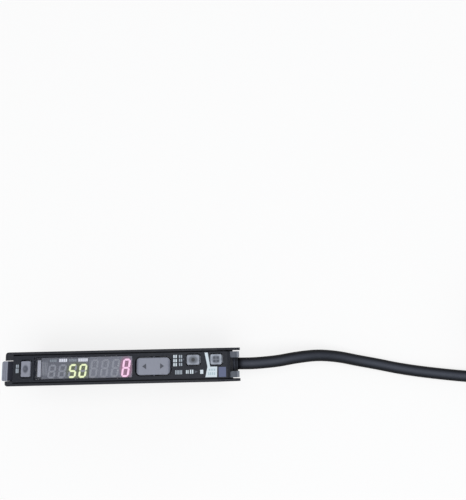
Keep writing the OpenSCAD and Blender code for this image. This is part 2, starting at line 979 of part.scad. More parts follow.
module fibre_block() {
  color("#1b1c20")
    difference() {
      union() {
        slab([block_x0, block_x1], [-block_y, block_y], [floor_z, block_top]);
        slab([nose_x, block_x0 + eps], [-nose_y, nose_y], [bore_low - nose_h, bore_high + nose_h]);
      }
      for (z = [bore_low, bore_high]) {
        rod_x([nose_x - eps, block_x1 + eps], 0, z, bore_r);
        rod_x([block_x1 - cell_l, block_x1 + eps], 0, z, cell_r);
        translate([nose_x, 0, z])
          rotate([0, 90, 0])
            cylinder(r1 = bore_r + cone_lip, r2 = bore_r, h = cone_l);
      }
      // Slot for the clamp, open at the top
      slab([clamp_x - clamp_t / 2 - slack, clamp_x + clamp_t / 2 + slack],
        [-clamp_y - slack, clamp_y + slack], [clamp_z - slack, block_top + eps]);
    }
}

module fibre_clamp() {
  hole_r = bore_r + 2 * slack;
  x = [clamp_x - clamp_t / 2 - eps, clamp_x + clamp_t / 2 + eps];
  color("#d8d8d4")
    difference() {
      slab([clamp_x - clamp_t / 2, clamp_x + clamp_t / 2], [-clamp_y, clamp_y], [clamp_z, clamp_top]);
      for (z = [bore_low, bore_high]) {
        rod_x(x, 0, z - slack, hole_r);
        rod_x(x, 0, z - slack - clamp_rise, hole_r);
        slab(x, [-hole_r, hole_r], [z - slack - clamp_rise, z - slack]);
      }
    }
}

// A light part in its cell behind a bore, with two leads to the main board
module light_part(z) {
  body_r = cell_r - slack;
  rod_x([block_x1 - cell_l / 2, block_x1], 0, z, body_r);
  rod_x([block_x1, block_x1 + collar_l], 0, z, body_r + collar_lip);
  for (side = [-1, 1])
    translate([0, 0, z + side * lead_pitch / 2])
      slab([block_x1 + lead_w, main_x0 + 1], [main_y + main_t / 2, main_y + main_t / 2 + lead_w],
        [-lead_w / 2, lead_w / 2]);
}

module emitter_led() {
  color("#e6e2e0")
    union() {
      light_part(bore_high);
      translate([block_x1 - cell_l / 2, 0, bore_high])
        sphere(cell_r - slack);
    }
}

module receiver_diode() {
  color("#26272c")
    union() {
      light_part(bore_low);
      rod_x([block_x1 - cell_l / 2 - lens_l, block_x1 - cell_l / 2 + eps], 0, bore_low, lens_r);
    }
}

module rail_latch() {
  nose_z = hook_z - nose_t;
  color("#202126")
    union() {
      slab([latch_x0, latch_x0 + latch_l], [-latch_y, latch_y], [arm_z, seat_z - slack]);
      // The nose has a slope below, so that the rail pushes it back
      along_y([-latch_w / 2, latch_w / 2])
        polygon([
          [latch_x0 + eps, nose_z], [rail_x1 - nose_slope / 3, nose_z],
          [rail_x1 - hook_reach, hook_z - nose_slope], [rail_x1 - hook_reach, hook_z],
          [latch_x0 + eps, hook_z]
        ]);
      slab([latch_x0 + latch_l - eps, x_rear + arm_out], [-arm_y, arm_y], [arm_z, arm_z + arm_t]);
    }
}

// Unit vector along v
function unit(v) = v / norm(v);

// Direction of a path at its point i
function heading(path, i) = unit(path[min(i + 1, len(path) - 1)] - path[max(i - 1, 0)]);

// A ring of points round a path's point, square to its heading
function ring(at, along, r, sides) =
  let (across = unit(cross(along, abs(along[2]) > 0.9 ? [0, 1, 0] : [0, 0, 1])), up = cross(across, along))
    [for (j = [0 : sides - 1]) at + r * (cos(360 * j / sides) * across + sin(360 * j / sides) * up)];

// A closed tube along a path
module tube(path, r, sides) {
  last = len(path) - 1;
  points = [for (i = [0 : last]) each ring(path[i], heading(path, i), r, sides)];
  walls = [
    for (i = [0 : last - 1], j = [0 : sides - 1])
      let (k = (j + 1) % sides)
        [i * sides + j, i * sides + k, (i + 1) * sides + k, (i + 1) * sides + j]
  ];
  polyhedron(
    points,
    concat(
      [[for (j = [sides - 1 : -1 : 0]) j]],
      walls,
      [[for (j = [0 : sides - 1]) last * sides + j]]
    ),
    convexity = 6
  );
}

module latch_spring() {
  steps = 12 * spring_turns;
  x0 = spring_x0 + wire_r;
  x1 = spring_x1 - wire_r;
  path = [
    for (i = [0 : steps])
      let (a = 360 * spring_turns * i / steps)
        [x0 + (x1 - x0) * i / steps, spring_r * cos(a), spring_z + spring_r * sin(a)]
  ];
  color("#aeb1b6")
    tube(path, wire_r, 6);
}

// Moulded bush: a neck in the rear wall between two collars, and a short nose
module cable_bush() {
  color("#232429")
    translate([x_rear - end_wall, 0, cord_z])
      rotate([0, 90, 0])
        rotate_extrude()
          polygon([
            [0, -collar_t], [bush_flange_r, -collar_t], [bush_flange_r, 0], [bush_r, 0], [bush_r, end_wall],
            [bush_flange_r, end_wall], [bush_flange_r, end_wall + collar_t - bush_edge],
            [bush_flange_r - bush_edge, end_wall + collar_t],
            [cord_r + nose_wall + bush_edge, end_wall + collar_t],
            [cord_r + nose_wall, end_wall + bush_out], [0, end_wall + bush_out]
          ]);
}

module cable_run() {
  color("#26282f")
    tube(route, cord_r, cord_sides);
}

// A long loop about the hank's middle with round ends of radius r
module loop(r) {
  translate([hank_x0, hank_y - r])
    square([hank_run, 2 * r]);
  for (x = [hank_x0, hank_x0 + hank_run])
    translate([x, hank_y])
      circle(r);
}

// A strap round the bundle on one side of the hank, from y0 outwards to y1
module strap(y0, y1, grow) {
  x = hank_x0 + hank_run / 2;
  slab([x - tie_w / 2, x + tie_w / 2], [y0 - grow, y1 + grow], [0, hank_h + grow]);
}

// The bundle's range along Y on the near and the far side of the hank
near_y = [hank_y - hank_r_out - cord_r, hank_y - hank_r_in + cord_r];
far_y = [hank_y + hank_r_in - cord_r, hank_y + hank_r_out + cord_r];

module cable_hank() {
  color("#26282f")
    difference() {
      linear_extrude(hank_h)
        difference() {
          loop(hank_r_out + cord_r);
          loop(hank_r_in - cord_r);
        }
      // The straps pass under the bundle
      for (y = [near_y, far_y])
        translate([0, 0, tie_t - hank_h])
          strap(y[0], y[1], eps);
    }
}

// A tie round one side of the hank
module hank_tie(y) {
  x = hank_x0 + hank_run / 2;
  color("#15161a")
    difference() {
      strap(y[0], y[1], tie_t);
      slab([x - tie_w, x + tie_w], y, [tie_t, hank_h]);
    }
}

module hank_tie_near() {
  hank_tie(near_y);
}

module hank_tie_far() {
  hank_tie(far_y);
}

// One core with its stripped tip, lying on the surface
module lead(i) {
  y = core_y + i * core_pitch;
  rod_x([core_x, core_x + core_l], y, core_r, core_r);
  rod_x([core_x + core_l - eps, core_x + core_l + tip_l], y, core_r, tip_r);
}

module lead_brown() {
  color("#6b3a20")
    lead(0);
}

module lead_blue() {
  color("#2a57b0")
    lead(1);
}

module lead_black() {
  color("#17181a")
    lead(2);
}

module lead_white() {
  color("#e8e8e6")
    lead(3);
}

case_shell();
side_cover();
face_panel();
display_window();
light_guide();
green_display();
red_display();
green_segments();
red_segments();
unlit_segments();
set_button();
adjust_rocker();
mode_button();
preset_button();
set_switch();
mode_switch();
preset_switch();
rocker_switch_front();
rocker_switch_rear();
display_board();
main_board();
signal_chip();
driver_chip();
filter_capacitor();
expansion_socket();
expansion_plug();
lock_lever();
lever_pin();
fibre_block();
fibre_clamp();
emitter_led();
receiver_diode();
rail_latch();
latch_spring();
cable_bush();
cable_run();
cable_hank();
hank_tie_near();
hank_tie_far();
lead_brown();
lead_blue();
lead_black();
lead_white();
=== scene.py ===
# %% [markdown]
# A slim fibre optic sensor amplifier lies face up on a white table, with its black cable running off to the
# right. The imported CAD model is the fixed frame: every solid of the unit is already there, in metres. This
# lesson gives it the cable's real turns, soft moulded edges, finishes, print and light.

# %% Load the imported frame
import json

import bpy
import numpy as np
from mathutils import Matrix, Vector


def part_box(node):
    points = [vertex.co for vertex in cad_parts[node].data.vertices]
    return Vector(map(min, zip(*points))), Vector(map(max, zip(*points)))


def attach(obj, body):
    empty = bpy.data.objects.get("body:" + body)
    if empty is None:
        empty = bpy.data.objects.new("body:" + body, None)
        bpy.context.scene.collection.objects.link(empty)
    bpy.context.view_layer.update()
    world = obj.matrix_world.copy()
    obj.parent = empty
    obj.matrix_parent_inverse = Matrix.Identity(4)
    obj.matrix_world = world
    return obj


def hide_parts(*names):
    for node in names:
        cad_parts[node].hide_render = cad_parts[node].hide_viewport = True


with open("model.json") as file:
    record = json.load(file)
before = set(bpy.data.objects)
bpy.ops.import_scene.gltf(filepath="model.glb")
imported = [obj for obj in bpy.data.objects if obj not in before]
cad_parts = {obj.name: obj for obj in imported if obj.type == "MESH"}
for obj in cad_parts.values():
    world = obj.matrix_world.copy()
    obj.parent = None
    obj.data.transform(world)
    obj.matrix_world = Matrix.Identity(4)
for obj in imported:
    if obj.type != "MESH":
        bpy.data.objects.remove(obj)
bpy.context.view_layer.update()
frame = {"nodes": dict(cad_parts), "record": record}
nodes = frame["nodes"]
MM = 0.001

# %% [markdown]
# The photograph was taken from above, about a hand's length over the faces. The picture is 466 pixels wide
# and 500 high, so a focal length in pixels becomes millimetres on a 36 mm sensor that spans the longer
# side. The point straight under the camera lies 105 pixels below the picture's middle, and that gives the
# tilt without any lens shift.

# %% Camera over the face
PICTURE_H = 500
FOCUS_PX = 586
UNDER_CAMERA_PX = 105
CAMERA_MM = (32.9, 2.72, 205)
ROLL_DEG = -1.25
camera_data = bpy.data.cameras.new("camera over the face")
camera_data.sensor_width = 36
camera_data.lens = camera_data.sensor_width * FOCUS_PX / PICTURE_H
camera_data.clip_start = 0.01
camera = bpy.data.objects.new("camera over the face", camera_data)
camera.location = np.array(CAMERA_MM) * MM
camera.rotation_euler = (np.arctan2(UNDER_CAMERA_PX, FOCUS_PX), 0, np.radians(ROLL_DEG))
bpy.context.collection.objects.link(camera)
bpy.context.scene.camera = camera
print("lens", round(camera_data.lens, 1), "mm, camera at", [round(v, 4) for v in camera.location])

# %% [markdown]
# The new pieces start as arrays of points, such as a grid with one parameter along a tube and the other
# round it. A helper turns the points and their faces into a mesh with its material. Each piece rides on a
# body of the model, so it moves when that body moves.

# %% From arrays to a piece
def add_piece(name, points, faces, body, material, smooth_faces=0, corner_uv=None):
    """A mesh object at the origin from points in metres; its first smooth_faces faces are shaded smooth."""
    mesh = bpy.data.meshes.new(name)
    mesh.from_pydata(np.asarray(points).reshape(-1, 3).tolist(), [], faces)
    mesh.polygons.foreach_set("use_smooth", np.arange(len(faces)) < smooth_faces)
    if corner_uv is not None:
        mesh.uv_layers.new(name="run and turn").data.foreach_set("uv", np.ravel(corner_uv))
    mesh.materials.append(material)
    mesh.update()
    piece = bpy.data.objects.new(name, mesh)
    bpy.context.collection.objects.link(piece)
    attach(piece, body)
    return piece


print("the unit's nodes start with", sorted(nodes)[:3])

# %% [markdown]
# A tube is a circle carried along a path. At each point of the path a level side vector and an up vector
# stand square to the heading, and the ring is the point plus radius times (cos a * side + sin a * up),
# counted from underneath.

# %% Rings along a path
def run_along(path):
    """Length of the path up to each of its points."""
    return np.concatenate([[0], np.cumsum(np.linalg.norm(np.diff(path, axis=0), axis=1))])


def tube_rings(path, radius, sides):
    """Rings of points round the path, each starting underneath; a radius may be given for every point."""
    along = np.gradient(path, axis=0)
    along /= np.linalg.norm(along, axis=1, keepdims=True)
    side = np.cross(along, (0, 0, 1))
    side /= np.linalg.norm(side, axis=1, keepdims=True)
    up = np.cross(side, along)
    angle = (np.linspace(0, 2 * np.pi, sides, endpoint=False) - np.pi / 2)[None, :, None]
    return path[:, None, :] + radius * (np.cos(angle) * side[:, None, :] + np.sin(angle) * up[:, None, :])


straight = np.array([(0, 0, 0), (1, 0, 0)], dtype=float)
print("on a straight path the ring starts at", tube_rings(straight, 1, 8)[0, 0].round(3).tolist())

# %% [markdown]
# A closed tube joins neighbouring rings with quads and has a flat cap at each end. A Blender curve with a
# bevel would do it too, but rings give each corner a UV of its own: the length run so far and the turn
# round the tube, which the drawn streaks of a cable jacket need. The corners of a face are counted so that
# it points outwards.

# %% A closed tube
def add_tube(name, path, radius, sides, body, material):
    """A closed tube of quads along a path in metres, with a flat cap at each end."""
    row, column = np.meshgrid(np.arange(len(path) - 1), np.arange(sides), indexing="ij")
    here, beside = row * sides + column, row * sides + (column + 1) % sides
    walls = np.stack([here, here + sides, beside + sides, beside], axis=-1).reshape(-1, 4).tolist()
    last = (len(path) - 1) * sides
    caps = [list(range(sides)), list(range(last, last + sides))[::-1]]
    run = run_along(path) / MM
    corner_run = np.stack([run[row], run[row + 1], run[row + 1], run[row]], axis=-1)
    corner_turn = np.stack([column, column, column + 1, column + 1], axis=-1) / sides
    wall_uv = np.stack([corner_run, corner_turn], axis=-1).reshape(-1, 2)
    corner_uv = np.vstack([wall_uv, np.zeros((2 * sides, 2))])
    return add_piece(name, tube_rings(path, radius, sides), walls + caps, body, material,
                     len(walls), corner_uv)


print("a tube of 3 rings and 8 sides would have", 2 * 8 + 2, "faces")

# %% [markdown]
# The cable leaves its bush level, sinks to the table under its own weight and runs to a hank of the rest of
# its two metres. Its route repeats the points of the CAD source. A smooth curve through them is one cubic
# for each span, whose end slopes are half the step between the neighbours. Such a curve swings a little
# past its points, so it is held at the height of a cable that lies on the table.

# %% The run of the cable
CORD_R = 1.9
CORD_Z = 12.5
BUSH_END = 34.5
SPAN_STEPS = 12
route = np.array([
    (BUSH_END, 0, CORD_Z), (40, 0, CORD_Z), (47, 0.5, 12), (54, 1.5, 10.4), (61, 2, 8), (68, 1.4, 5.4),
    (75, 0, 3.4), (82, -1.4, 2.4), (89, -2.9, CORD_R), (96, -4.1, CORD_R), (104, -5.2, CORD_R),
    (112, -6.1, CORD_R), (120, -6.7, CORD_R), (128, -7, CORD_R), (136, -7, CORD_R)])


def through(points, steps):
    """A smooth curve through points: each span is a cubic with slopes of half the step between neighbours."""
    padded = np.vstack([2 * points[0] - points[1], points, 2 * points[-1] - points[-2]])
    before, start, end, after = (padded[i:len(points) - 1 + i, None, :] for i in range(4))
    t = np.linspace(0, 1, steps, endpoint=False)[None, :, None]
    curve = ((2 * t**3 - 3 * t**2 + 1) * start + (t**3 - 2 * t**2 + t) * (end - before) / 2
             + (3 * t**2 - 2 * t**3) * end + (t**3 - t**2) * (after - start) / 2)
    return np.vstack([curve.reshape(-1, 3), points[-1:]])


cable_run = through(route, SPAN_STEPS)
cable_run[:, 2] = np.maximum(cable_run[:, 2], CORD_R)
print("the run is", round(run_along(cable_run)[-1]), "mm long and ends at", cable_run[-1].tolist())

# %% [markdown]
# The hank is one line too, because a real cable is. One turn of it is a long loop with four equal parts:
# near straight, half circle, far straight, half circle.

# %% One turn of the hank
HANK_X, HANK_Y = 136, 8.8
HANK_RUN = 58
OUTER_R = 15.79


def long_loop(turn, radius, height):
    """Points of the loop at a number of turns, counted from its near left corner."""
    part = (turn % 1) * 4
    bend = np.pi * (part % 1)
    parts = [part < 1, part < 2, part < 3]
    x = np.select(parts, [HANK_RUN * part, HANK_RUN + radius * np.sin(bend), HANK_RUN * (3 - part)],
                  -radius * np.sin(bend))
    y = np.select(parts, [-radius, -radius * np.cos(bend), radius], radius * np.cos(bend))
    return np.stack([HANK_X + x, HANK_Y + y, height], axis=-1)


print("an outer turn is", round(2 * HANK_RUN + 2 * np.pi * OUTER_R), "mm long")

# %% [markdown]
# The line climbs in turns on an outer track, steps to an inner track at the top, winds down again, and its
# bare end lies on the table in the middle. The low turns lie flat on the straps of the ties and step up
# where they close, and towards the top they climb more evenly.

# %% How the turns settle
INNER_R = OUTER_R - 2 * CORD_R
TURNS_UP, TURNS_OVER, TURNS_ALL = 4.6, 0.35, 9.02
TIE_T, TIE_AT = 0.5, 1 / 8
STEP_FROM = 0.7
HANK_POINTS, TAIL_POINTS = 2600, 40
TAIL_END = np.array((160.5, 2.15, CORD_R))


def eased(t):
    """Smooth step from 0 to 1: 3 t^2 - 2 t^3."""
    return t**2 * (3 - 2 * t)


def settled(climbed):
    """Height in diameters: (1 - e) * strap + (1 - e^3) * (whole turns + step) + e^3 * climbed.

    Here e is climbed / TURNS_UP, and the step is eased from STEP_FROM of a turn to its end.
    """
    step = eased(np.clip((climbed % 1 - STEP_FROM) / (1 - STEP_FROM), 0, 1))
    strap = TIE_T / (2 * CORD_R) * eased(np.clip(climbed / TIE_AT, 0, 1))
    share = climbed / TURNS_UP
    return (1 - share) * strap + (1 - share**3) * (np.floor(climbed) + step) + share**3 * climbed


turn = np.linspace(0, TURNS_ALL, HANK_POINTS)[1:]
inward = eased(np.clip((turn - TURNS_UP) / TURNS_OVER, 0, 1))
climbed = np.minimum(turn, TURNS_UP) - np.maximum(turn - TURNS_UP - TURNS_OVER, 0)
hank = long_loop(turn, OUTER_R + (INNER_R - OUTER_R) * inward, CORD_R + 2 * CORD_R * settled(climbed))
tail_t = np.linspace(0, 1, TAIL_POINTS)[1:, None]
tail = hank[-1] + (TAIL_END - hank[-1]) * np.hstack([tail_t, eased(tail_t), eased(tail_t)])
print("the hank has", TURNS_ALL, "turns,", round(run_along(hank)[-1]), "mm")

# %% [markdown]
# A finish starts from a Principled shader. Colours are noted on the usual 0 to 255 screen scale and turned
# into linear light, so that a colour renders about as it is written. A value that is the same all over the
# surface is set on the shader's own socket.

# %% A plain shader
def linear(red, green, blue):
    """Screen colour as linear light: (v + 0.055) / 1.055 to the power 2.4, straight below 0.04."""
    screen = np.array((red, green, blue)) / 255
    light = np.where(screen <= 0.04045, screen / 12.92, ((screen + 0.055) / 1.055) ** 2.4)
    return (*light.tolist(), 1.0)


def shader_of(material):
    """The Principled shader that a new material starts with."""
    return material.node_tree.nodes["Principled BSDF"]


def plain_finish(name, colour, roughness, **sockets):
    """A material with one Principled shader; further sockets are named with _ for a space."""
    material = bpy.data.materials.new(name)
    material.use_nodes = True
    inputs = shader_of(material).inputs
    inputs["Base Color"].default_value = colour
    inputs["Roughness"].default_value = roughness
    for socket, value in sockets.items():
        inputs[socket.replace("_", " ")].default_value = value
    return material


print("mid grey on screen is", round(linear(128, 128, 128)[0], 3), "in linear light")

# %% [markdown]
# Effects that many finishes share become node groups: small shader trees with named inputs and outputs,
# which any material can place with values of its own. In Blender 4.5 the sockets belong to the group's
# interface.

# %% An empty node group
def new_group(name, inputs, outputs):
    """An empty shader group with named sockets, and its input and output nodes."""
    group = bpy.data.node_groups.new(name, "ShaderNodeTree")
    for label, (kind, value) in inputs.items():
        group.interface.new_socket(name=label, in_out="INPUT", socket_type=kind).default_value = value
    for label, kind in outputs.items():
        group.interface.new_socket(name=label, in_out="OUTPUT", socket_type=kind)
    return group, group.nodes.new("NodeGroupInput"), group.nodes.new("NodeGroupOutput")


NUMBER, COLOUR, VECTOR = "NodeSocketFloat", "NodeSocketColor", "NodeSocketVector"
GREY = (0.2, 0.2, 0.2, 1)
print("group sockets are", NUMBER, COLOUR, "or", VECTOR)

# %% [markdown]
# A few helpers keep the wiring short. Each adds one node to a tree, sets or links its inputs and gives back
# its output socket, so a formula of nodes reads from the inside out.

# %% Nodes with their links
def add_math(tree, operation, *values):
    """A Math node whose inputs are numbers or sockets; gives its output socket."""
    node = tree.nodes.new("ShaderNodeMath")
    node.operation = operation
    for socket, value in zip(node.inputs, values):
        if isinstance(value, (int, float)):
            socket.default_value = value
        else:
            tree.links.new(value, socket)
    return node.outputs[0]


def add_mix(tree, factor, first, second):
    """A colour Mix node by a factor socket; colours are sockets or constants."""
    node = tree.nodes.new("ShaderNodeMix")
    node.data_type = "RGBA"
    tree.links.new(factor, node.inputs["Factor"])
    for socket, value in zip((node.inputs[6], node.inputs[7]), (first, second)):
        if isinstance(value, tuple):
            socket.default_value = value
        else:
            tree.links.new(value, socket)
    return node.outputs[2]


def add_noise(tree, vector, scale, detail):
    """A noise node on a place; its scale is a number or a socket."""
    node = tree.nodes.new("ShaderNodeTexNoise")
    node.inputs["Detail"].default_value = detail
    tree.links.new(vector, node.inputs["Vector"])
    if isinstance(scale, (int, float)):
        node.inputs["Scale"].default_value = scale
    else:
        tree.links.new(scale, node.inputs["Scale"])
    return node.outputs["Fac"]


print("helpers:", [helper.__name__ for helper in (add_math, add_mix, add_noise)])

# %% [markdown]
# Moulded plastic has a fine spark-eroded grain, its colour is never quite even, and hands polish it here
# and there. Many pieces share that, so it is a group: Object coordinates feed a fine noise for the height
# of the grain and a broad one that lets colour and roughness drift.

# %% Group: moulded surface
def moulded_surface():
    """Height: fine noise. Colour: tones mixed by broad noise. Roughness: value + drift * (broad - 0.5)."""
    group, given, result = new_group(
        "moulded surface",
        {"Tone": (COLOUR, GREY), "Other tone": (COLOUR, GREY), "Grain size": (NUMBER, 4000),
         "Drift size": (NUMBER, 400), "Roughness": (NUMBER, 0.45), "Drift": (NUMBER, 0.15)},
        {"Colour": COLOUR, "Height": NUMBER, "Roughness": NUMBER})
    link = group.links.new
    place = group.nodes.new("ShaderNodeTexCoord").outputs["Object"]
    broad = add_noise(group, place, given.outputs["Drift size"], 4)
    drifted = add_math(group, "MULTIPLY_ADD", add_math(group, "SUBTRACT", broad, 0.5), given.outputs["Drift"],
                       given.outputs["Roughness"])
    link(add_noise(group, place, given.outputs["Grain size"], 3), result.inputs["Height"])
    link(add_mix(group, broad, given.outputs["Tone"], given.outputs["Other tone"]), result.inputs["Colour"])
    link(drifted, result.inputs["Roughness"])
    return group


SURFACE = moulded_surface()
print("group", SURFACE.name, "has", len(SURFACE.nodes), "nodes")

# %% [markdown]
# A little dust settles on whatever looks up. The second group mixes a colour towards dust by an amount, by
# a broken noise, and by how far the surface's normal points upwards.

# %% Group: settled dust
DUST_COLOUR = (0.42, 0.43, 0.45, 1)


def upward(tree):
    """Upward part of the surface's normal: its Z, and 0 where it looks down."""
    split = tree.nodes.new("ShaderNodeSeparateXYZ")
    tree.links.new(tree.nodes.new("ShaderNodeNewGeometry").outputs["Normal"], split.inputs[0])
    return add_math(tree, "MAXIMUM", split.outputs["Z"], 0)


def settled_dust():
    """Colour = clean colour mixed towards dust by amount * specks * upward part of the normal."""
    group, given, result = new_group(
        "settled dust", {"Clean colour": (COLOUR, GREY), "Amount": (NUMBER, 0.1)}, {"Colour": COLOUR})
    place = group.nodes.new("ShaderNodeTexCoord").outputs["Object"]
    specks = group.nodes.new("ShaderNodeMapRange")
    specks.inputs["From Min"].default_value = 0.52
    specks.inputs["From Max"].default_value = 0.8
    group.links.new(add_noise(group, place, 1500, 6), specks.inputs["Value"])
    lying = add_math(group, "MULTIPLY", specks.outputs["Result"], upward(group))
    share = add_math(group, "MULTIPLY", lying, given.outputs["Amount"])
    dusty = add_mix(group, share, given.outputs["Clean colour"], DUST_COLOUR)
    group.links.new(dusty, result.inputs["Colour"])
    return group


DUST = settled_dust()
print("group", DUST.name, "mixes towards", DUST_COLOUR[:3])

# %% [markdown]
# Every moulded or coated piece gets the same three steps with its own numbers: the surface group gives
# tone, grain and gloss, a Bump node turns the grain's height into normals, and the dust group comes last on
# the colour of what lies open. Grain and drift are noise scales per metre, so 5000 is a grain of a fifth of
# a millimetre, and the depth of the grain is in millimetres.

# %% A moulded finish
TONE_GAIN, BUMP = 1.25, 0.6


def moulded_finish(name, tone, roughness, grain=5000, depth=0.02, drift=400, dust=0, **sockets):
    """A plain finish with the surface group on colour, roughness and normal, and dust where it is open."""
    material = plain_finish(name, tone, roughness, **sockets)
    tree = material.node_tree
    shader, link = shader_of(material), tree.links.new
    surface, bump = tree.nodes.new("ShaderNodeGroup"), tree.nodes.new("ShaderNodeBump")
    surface.node_tree = SURFACE
    other_tone = tuple(min(1.0, TONE_GAIN * v) for v in tone[:3]) + (1.0,)
    for label, value in (("Tone", tone), ("Other tone", other_tone), ("Grain size", grain),
                         ("Drift size", drift), ("Roughness", roughness)):
        surface.inputs[label].default_value = value
    bump.inputs["Strength"].default_value = BUMP
    bump.inputs["Distance"].default_value = depth * MM
    link(surface.outputs["Height"], bump.inputs["Height"])
    link(bump.outputs["Normal"], shader.inputs["Normal"])
    link(surface.outputs["Roughness"], shader.inputs["Roughness"])
    colour = surface.outputs["Colour"]
    if dust:
        dusted = tree.nodes.new("ShaderNodeGroup")
        dusted.node_tree = DUST
        dusted.inputs["Amount"].default_value = dust
        link(colour, dusted.inputs["Clean colour"])
        colour = dusted.outputs["Colour"]
    link(colour, shader.inputs["Base Color"])
    return material


print("a moulded finish takes", SURFACE.name, "and, where asked,", DUST.name)

# %% [markdown]
# The record of the part names a material slot for each node. Most slots need no more than a moulded finish
# with their own tone, gloss and grain. Metals have Metallic at 1, and the smoked window lets nine tenths of
# the light through.

# %% Finishes for the slots
METAL = {"grain": 9000, "depth": 0.004, "Metallic": 1.0}
finishes = {
    "case_plastic": moulded_finish("case plastic", linear(31, 33, 40), 0.52, dust=0.04,
                                   Specular_IOR_Level=0.2),
    "black_plastic": moulded_finish("black plastic", linear(24, 25, 28), 0.45),
    "unlit": moulded_finish("unlit strokes", linear(152, 156, 168), 0.5, depth=0.005),
    "light_bar": moulded_finish("light guide", linear(196, 200, 214), 0.35, depth=0.005),
    "smoked_window": moulded_finish("smoked window", linear(92, 94, 106), 0.12, depth=0.002, Alpha=0.1),
    "board": moulded_finish("lacquered board", linear(26, 78, 55), 0.35, drift=900),
    "steel": moulded_finish("bright steel", linear(186, 188, 192), 0.25, **METAL),
    "can": moulded_finish("capacitor can", linear(168, 170, 174), 0.35, **METAL),
    "pale_plastic": moulded_finish("pale plastic", linear(210, 210, 206), 0.4),
    "core_brown": moulded_finish("brown core", linear(94, 55, 34), 0.42),
    "core_blue": moulded_finish("blue core", linear(36, 84, 170), 0.42),
    "core_black": moulded_finish("black core", linear(24, 24, 26), 0.42),
    "core_white": moulded_finish("white core", linear(216, 216, 214), 0.42),
}
print(len(finishes), "finishes so far")

# %% [markdown]
# Some places of a piece get a colour of their own within a soft spot: painted shade in the sunk middle of a
# key, or a painted highlight on the hinge ears and their tips. A soft spot is a mask that fades with the
# distance from a middle, measured in half sizes along the three axes.

# %% Group: soft spot
FULL_TO, GONE_AT = 0.8, 1.7


def soft_spot():
    """Mask = 1 within FULL_TO half sizes of the middle, fading smoothly to 0 at a number of half sizes."""
    group, given, result = new_group(
        "soft spot",
        {"Middle": (VECTOR, (0, 0, 0)), "Half size": (VECTOR, (1, 1, 1)), "Gone at": (NUMBER, GONE_AT)},
        {"Mask": NUMBER})
    offset, scaled, distance = (group.nodes.new("ShaderNodeVectorMath") for _ in range(3))
    offset.operation, scaled.operation, distance.operation = "SUBTRACT", "DIVIDE", "LENGTH"
    fade = group.nodes.new("ShaderNodeMapRange")
    fade.interpolation_type = "SMOOTHSTEP"
    fade.inputs["From Max"].default_value = FULL_TO
    link = group.links.new
    link(given.outputs["Gone at"], fade.inputs["From Min"])
    link(group.nodes.new("ShaderNodeTexCoord").outputs["Object"], offset.inputs[0])
    link(given.outputs["Middle"], offset.inputs[1])
    link(offset.outputs[0], scaled.inputs[0])
    link(given.outputs["Half size"], scaled.inputs[1])
    link(scaled.outputs[0], distance.inputs[0])
    link(distance.outputs["Value"], fade.inputs["Value"])
    link(fade.outputs["Result"], result.inputs["Mask"])
    return group


SPOT = soft_spot()
print("group", SPOT.name, "is whole up to", FULL_TO, "half sizes")

# %% [markdown]
# A tinted finish is a finish with one more Mix node before its shader. A half size far larger than the
# piece lets the spot run right through it in that direction.

# %% Tinted finishes
WIDE = 50


def tinted(material, middle_mm, half_mm, shade, gone_at=GONE_AT):
    """The finish with its colour mixed towards a shade within a soft spot; sizes in mm."""
    tree = material.node_tree
    base = shader_of(material).inputs["Base Color"]
    mask = tree.nodes.new("ShaderNodeGroup")
    mask.node_tree = SPOT
    mask.inputs["Middle"].default_value = np.array(middle_mm) * MM
    mask.inputs["Half size"].default_value = np.array(half_mm) * MM
    mask.inputs["Gone at"].default_value = gone_at
    tree.links.new(add_mix(tree, mask.outputs["Mask"], base.links[0].from_socket, shade), base)
    return material


print("a spot with a half size of", WIDE, "mm is whole up to", FULL_TO * WIDE, "mm from its middle")

# %% [markdown]
# The digits are lit strokes behind a smoked window. Each stroke glows by itself, and its light scatters in
# the milky module around it: a greenish shade about the green reading, and a pink one about the red
# reading. The board behind the modules is grey, so that it hardly shows beside them.

# %% Lit strokes and display modules
def lit_strokes(name, glow):
    """Dark strokes that glow by themselves, a little uneven as small lamps are."""
    material = moulded_finish(name, glow, 0.4, Emission_Strength=1.0)
    base, emission = (shader_of(material).inputs[label] for label in ("Base Color", "Emission Color"))
    material.node_tree.links.new(base.links[0].from_socket, emission)
    material.node_tree.links.remove(base.links[0])
    base.default_value = GREY
    return material


def middle_and_half(node):
    """Middle of a node's box and half its size, in mm."""
    low, high = (np.array(corner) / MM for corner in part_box(node))
    return (low + high) / 2, (high - low) / 2


def module_round(strokes, name, tone, shade):
    """Milky display module, tinted by the light of the lit strokes of a node."""
    middle, half = middle_and_half(strokes)
    milky = moulded_finish(name, linear(*tone), 0.6, depth=0.005)
    return tinted(milky, middle, (*half[:2], WIDE), linear(*shade))


finishes["lit_green"] = lit_strokes("lit green strokes", linear(222, 236, 176))
finishes["lit_red"] = lit_strokes("lit red strokes", linear(246, 186, 222))
finish_of = {
    "green_display": module_round("green_segments", "green display module", (106, 110, 122), (98, 108, 78)),
    "red_display": module_round("red_segments", "red display module", (126, 130, 144), (174, 126, 154)),
    "display_board": moulded_finish("grey board", linear(100, 103, 114), 0.4),
}
print("nodes with a finish of their own:", list(finish_of))

# %% [markdown]
# The keys and the lever are fine grained grey plastic. The three small keys are a little paler than the
# rocker and get painted shade in their sunk middles, the mode key a darker spot of painted shade in its
# dimple. The lever's thumb piece is pale, and its steep back gets painted shade.

# %% Keys and lever
def key_finish(name, tone=(132, 136, 150)):
    """Fine grained grey plastic of keys and lever."""
    return moulded_finish(name, linear(*tone), 0.45, grain=6000, depth=0.01, drift=1500, dust=0.05,
                          Specular_IOR_Level=0.35)


def middle_shaded_key(key, tone, half_mm, shade):
    """Key plastic with painted shade in its sunk middle."""
    middle = middle_and_half(key + "_button")[0]
    return tinted(key_finish(key + " key plastic", tone), middle, (*half_mm, WIDE), linear(*shade))


